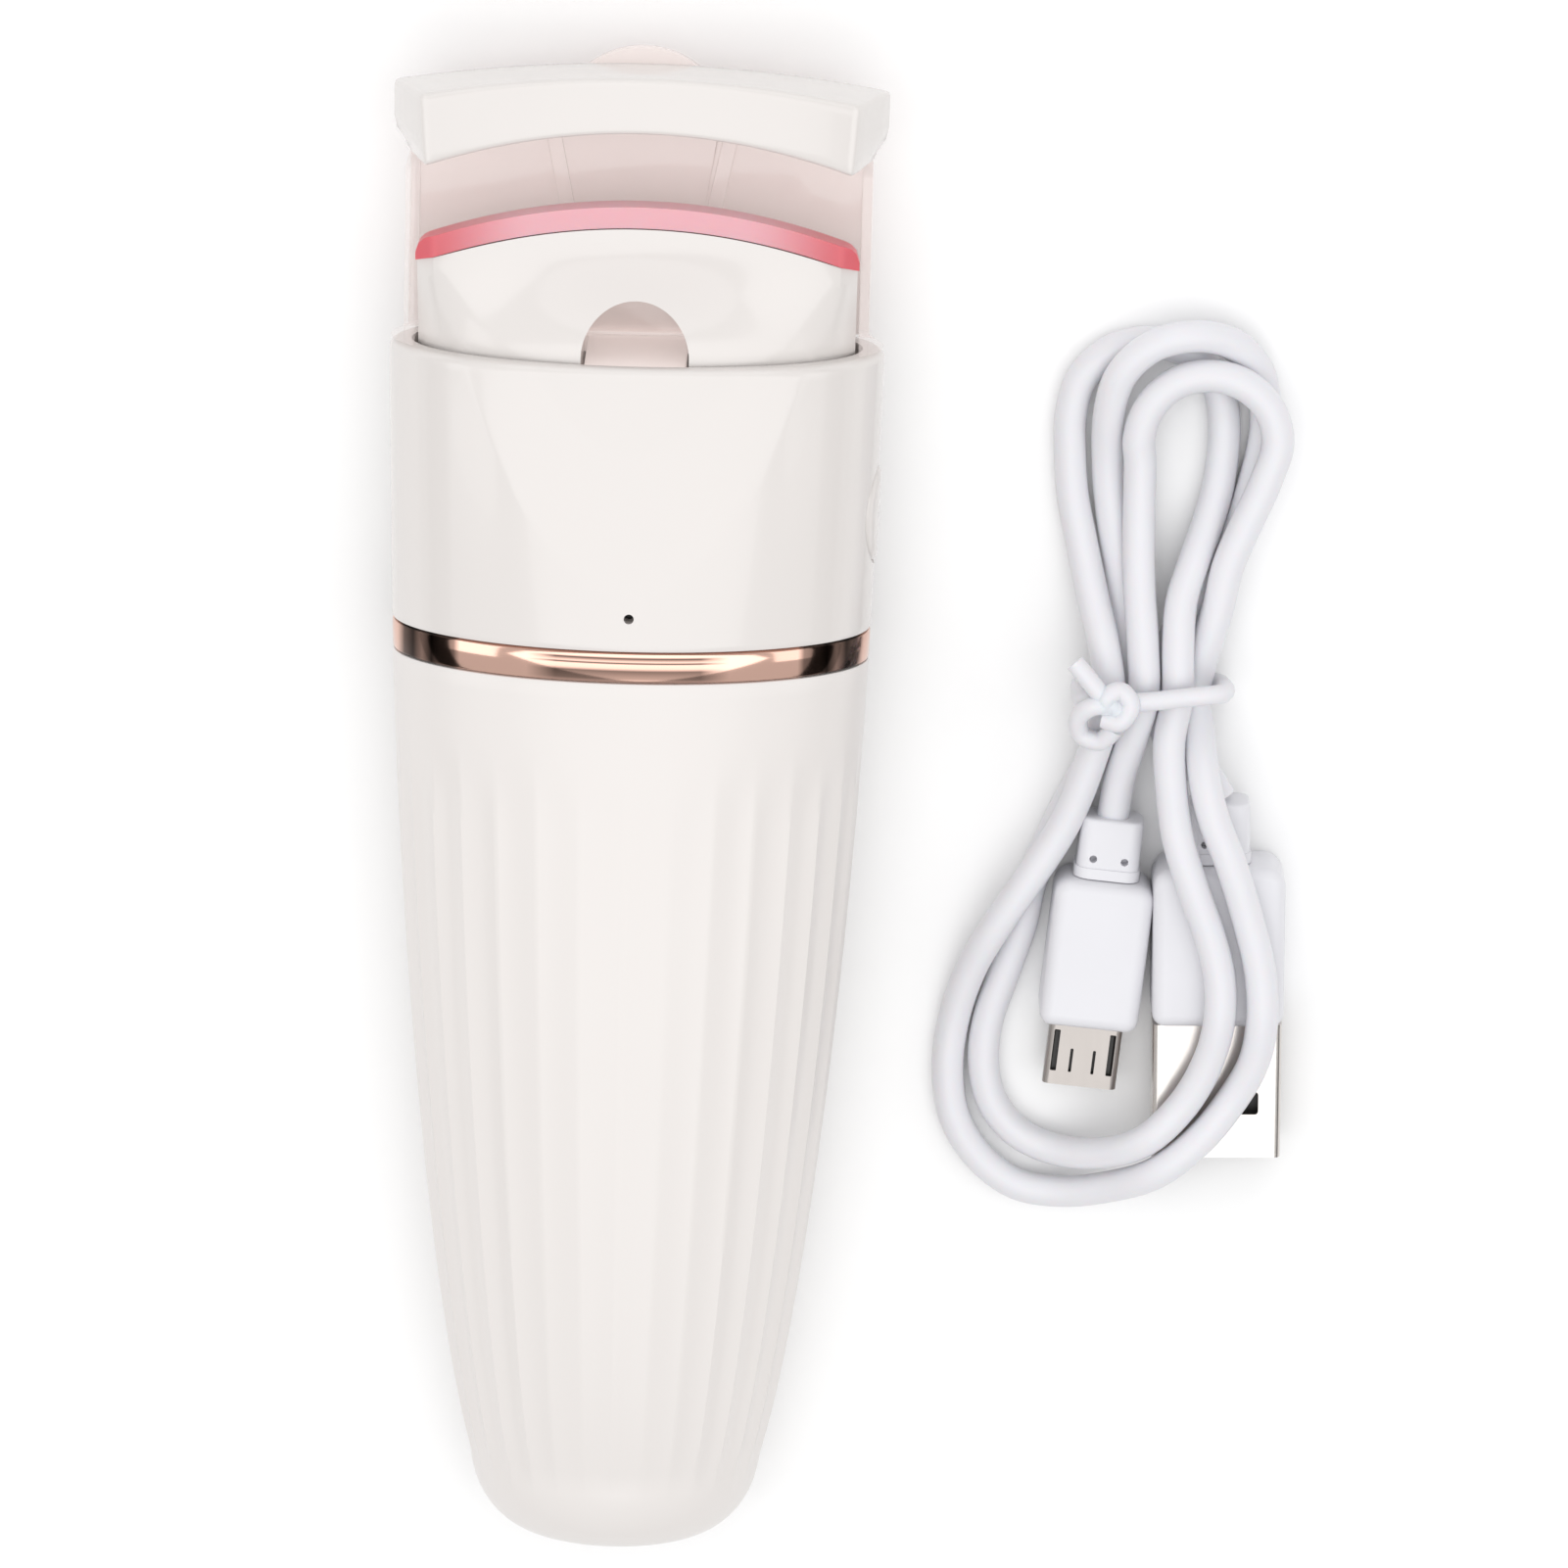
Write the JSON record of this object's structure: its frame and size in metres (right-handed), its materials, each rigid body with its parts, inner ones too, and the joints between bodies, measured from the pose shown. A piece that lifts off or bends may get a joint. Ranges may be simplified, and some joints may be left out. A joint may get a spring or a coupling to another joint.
{
  "type": "eyelash curler",
  "caption": "Heated rechargeable eyelash curler with a thumb-driven sliding jaw, silicone pad, clear hood, fluted handle, side power button and its charging lead.",
  "frame": {"origin": "centre of the curler's footprint on the surface it lies on", "axes": "+Z out of the front face, +Y from the handle toward the jaws, +X to the right seen from the front"},
  "size_m": [0.0835, 0.1406, 0.0242],
  "materials": {
    "white_shell": "glossy warm white",
    "rose_gold": "polished rose gold",
    "clear_hood": "clear, lightly tinted",
    "pink_pad": "soft silicone",
    "steel": "bright",
    "black_plastic": "matte",
    "grey_plastic": "matte",
    "board": "solder mask",
    "cell_wrap": "foil pouch",
    "lamp": "clear",
    "lead_white": "cool white, satin"
  },
  "bodies": {
    "housing": {"handle_sleeve": "white_shell", "trim_ring": "rose_gold", "upper_shell": "white_shell", "hood_frame": "clear_hood", "upper_jaw": "white_shell", "guide_plate": "grey_plastic", "tray": "grey_plastic", "battery_cell": "cell_wrap", "main_board": "board", "indicator_led": "lamp", "light_pipe": "black_plastic", "tact_switch": "black_plastic", "socket_board": "board", "charging_socket": "steel", "socket_tongue": "black_plastic", "board_screw_left": "steel", "board_screw_right": "steel", "return_spring_left": "steel", "return_spring_right": "steel"},
    "carriage": {"carriage": "white_shell", "heater_plate": "steel", "lash_pad": "pink_pad", "spring_cup_left": "grey_plastic", "spring_cup_right": "grey_plastic", "foot_screw_left": "steel", "foot_screw_right": "steel"},
    "button": {"power_button": "white_shell"},
    "plunger": {"switch_plunger": "grey_plastic"},
    "charging_lead": {"lead_cord": "lead_white", "lead_tie": "lead_white", "micro_relief": "lead_white", "micro_grip": "lead_white", "micro_shell": "steel", "micro_insert": "black_plastic", "usb_relief": "lead_white", "usb_grip": "lead_white", "usb_shell": "steel", "usb_insert": "black_plastic"}
  },
  "joints": [
    {"name": "carriage_slide", "type": "slide", "parent": "housing", "child": "carriage", "axis": [0, 1, 0], "range_m": [0, 0.0062], "stiffness_N_per_m": 300, "springref_m": -0.004, "deforming": ["return_spring_left", "return_spring_right"]},
    {"name": "button_press", "type": "slide", "parent": "housing", "child": "button", "axis": [-1, 0, 0], "range_m": [0, 0.0005], "stiffness_N_per_m": 800, "springref_m": -0.0005},
    {"name": "plunger_press", "type": "slide", "parent": "housing", "child": "plunger", "axis": [-1, 0, 0], "range_m": [0, 0.0005]},
    {"name": "lead_lift", "type": "slide", "parent": "housing", "child": "charging_lead", "axis": [0, 0, 1], "range_m": [0, 0.1]}
  ],
  "couplings": [
    {"joint": "plunger_press", "follows": "button_press", "ratio": 1}
  ]
}
